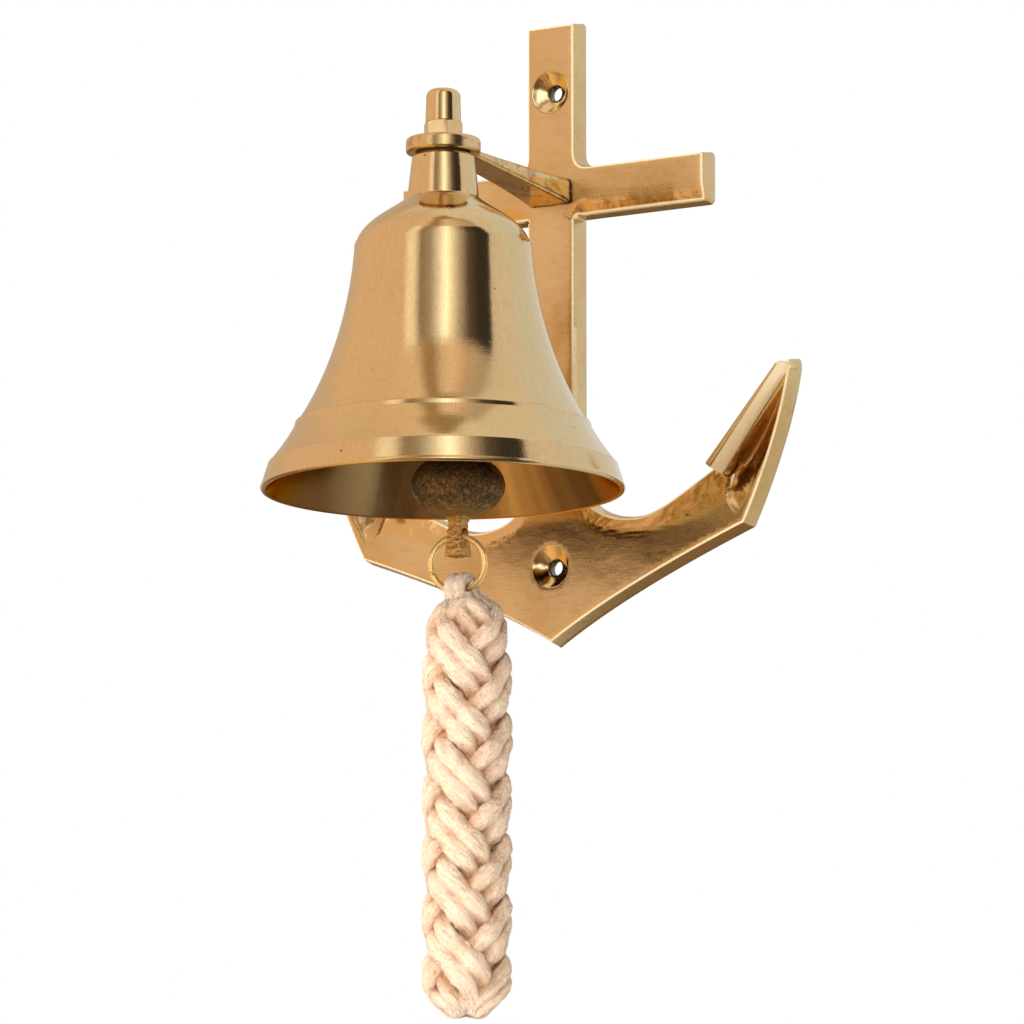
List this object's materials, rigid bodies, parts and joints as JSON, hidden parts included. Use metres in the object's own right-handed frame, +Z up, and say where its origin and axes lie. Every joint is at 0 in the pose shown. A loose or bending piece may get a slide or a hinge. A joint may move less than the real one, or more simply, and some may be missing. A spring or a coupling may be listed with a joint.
{
  "type": "wall ship bell",
  "caption": "Flared brass bell hung mouth down from an anchor-shaped wall bracket, with an inner clapper, a wire ring and a thick braided cotton pull cord.",
  "frame": {"origin": "on the flat wall face of the anchor bracket, on its centre line, midway between the two countersunk screw holes", "axes": "+Y points into the wall, -Y out into the room, +Z up, +X to the right for a person facing the wall"},
  "size_m": [0.1596, 0.1128, 0.2904],
  "materials": {
    "polished_brass": "turned and polished cast brass, fine tool lines, bright reflections",
    "brushed_brass": "satin brushed cast brass with small casting pits and bright edges",
    "wire_brass": "smooth drawn brass wire and turned brass rod, yellower than the castings",
    "cast_bronze": "rough as-cast bronze, dark brown patina rubbed golden on high spots",
    "fibre": "dark pressed fibre, matt",
    "cotton_cord": "soft natural cotton braid, pale pinkish cream, fibrous and matt"
  },
  "bodies": {
    "bracket": {"anchor_plate": "brushed_brass", "bracket_arm": "polished_brass", "arm_screw": "wire_brass", "bell_body": "polished_brass", "crown_washer": "fibre", "dome_nut": "polished_brass", "hanger_hook": "wire_brass", "lock_washer": "brushed_brass", "lock_nut": "brushed_brass"},
    "link": {"clapper_link": "wire_brass"},
    "clapper_body": {"clapper": "cast_bronze"},
    "ring": {"lanyard_ring": "wire_brass"},
    "lanyard": {"lanyard_braid": "cotton_cord", "lanyard_core": "cotton_cord"}
  },
  "joints": [
    {"name": "link_swing", "type": "hinge", "parent": "bracket", "child": "link", "pos_m": [0.005, -0.062, 0.0023], "axis": [1, 0, 0], "range_deg": [-14, 11]},
    {"name": "clapper_swing", "type": "hinge", "parent": "link", "child": "clapper_body", "pos_m": [0.005, -0.062, -0.0059], "axis": [0, 1, 0], "range_deg": [-25, 34]},
    {"name": "ring_swing", "type": "hinge", "parent": "clapper_body", "child": "ring", "pos_m": [0.005, -0.062, -0.06795], "axis": [1, 0, 0], "range_deg": [-50, 3]},
    {"name": "lanyard_swing", "type": "hinge", "parent": "ring", "child": "lanyard", "pos_m": [0.005, -0.062, -0.0756], "axis": [0, 1, 0], "range_deg": [-25, 25]}
  ]
}
